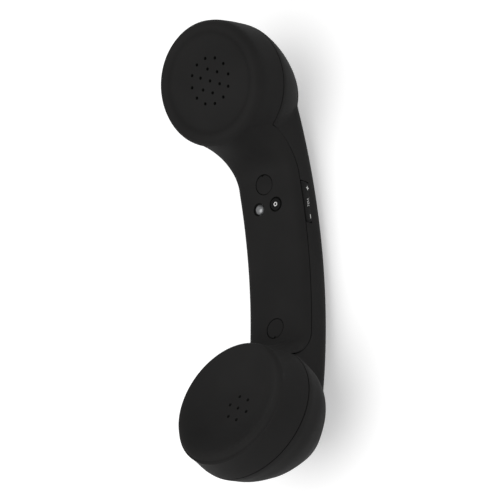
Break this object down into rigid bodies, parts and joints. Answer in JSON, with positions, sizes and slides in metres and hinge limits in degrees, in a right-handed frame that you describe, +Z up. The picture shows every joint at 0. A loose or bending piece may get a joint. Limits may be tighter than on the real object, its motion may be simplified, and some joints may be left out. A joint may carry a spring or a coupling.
{
  "type": "telephone handset",
  "caption": "Retro-style cordless telephone handset: round ear and mouth cups on an arched handle, with an answer button, an indicator lens and a volume rocker.",
  "frame": {"origin": "centre of the bounding box's bottom face, on the surface that the arched back rests on", "axes": "+Z up, the way both caps face; +Y along the handset from the mouthpiece to the earpiece; +X towards the side with the volume rocker"},
  "size_m": [0.0596, 0.201, 0.0684],
  "materials": {
    "soft_touch": "soft-touch, very fine, near black",
    "key_plastic": "satin, near black",
    "lens_plastic": "frosted, silvery",
    "lamp_plastic": "white package",
    "board_laminate": "green solder resist",
    "chip_plastic": "matte black",
    "zinc_steel": "zinc plated",
    "grey_foam": "open-cell foam, dark grey",
    "black_rubber": "moulded",
    "diaphragm_film": "thin amber film",
    "cell_foil": "laminated foil",
    "wire_red": "insulated wire pair"
  },
  "bodies": {
    "handset": {"front_shell": "soft_touch", "back_shell": "soft_touch", "screw_plug_ear": "soft_touch", "screw_plug_mouth": "soft_touch", "indicator_lens": "lens_plastic", "indicator_lamp": "lamp_plastic", "main_board": "board_laminate", "audio_chip": "chip_plastic", "receiver_basket": "chip_plastic", "wireless_module": "zinc_steel", "charging_socket": "zinc_steel", "answer_switch": "zinc_steel", "volume_up_switch": "zinc_steel", "volume_down_switch": "zinc_steel", "shell_screw_ear": "zinc_steel", "shell_screw_mouth": "zinc_steel", "board_screw_1": "zinc_steel", "board_screw_2": "zinc_steel", "clamp_screw_1": "zinc_steel", "clamp_screw_2": "zinc_steel", "clamp_screw_3": "zinc_steel", "receiver_clamp": "zinc_steel", "receiver_magnet": "zinc_steel", "microphone_capsule": "zinc_steel", "receiver_gasket": "grey_foam", "microphone_foam": "grey_foam", "battery_pad": "grey_foam", "microphone_boot": "black_rubber", "receiver_diaphragm": "diaphragm_film", "battery": "cell_foil", "receiver_leads": "wire_red", "microphone_leads": "wire_red", "battery_leads": "wire_red"},
    "answer_button": {"answer_button": "key_plastic"},
    "volume_rocker": {"volume_rocker": "key_plastic"}
  },
  "joints": [
    {"name": "answer_press", "type": "slide", "parent": "handset", "child": "answer_button", "axis": [0, 0.0694, -0.9976], "range_m": [0, 0.0003], "stiffness_N_per_m": 1500},
    {"name": "volume_tilt", "type": "hinge", "parent": "handset", "child": "volume_rocker", "pos_m": [0.0128, 0.02183, 0.0143], "axis": [0, 0, 1], "range_deg": [-2.5, 2.5], "stiffness_Nm_per_rad": 0.05}
  ]
}
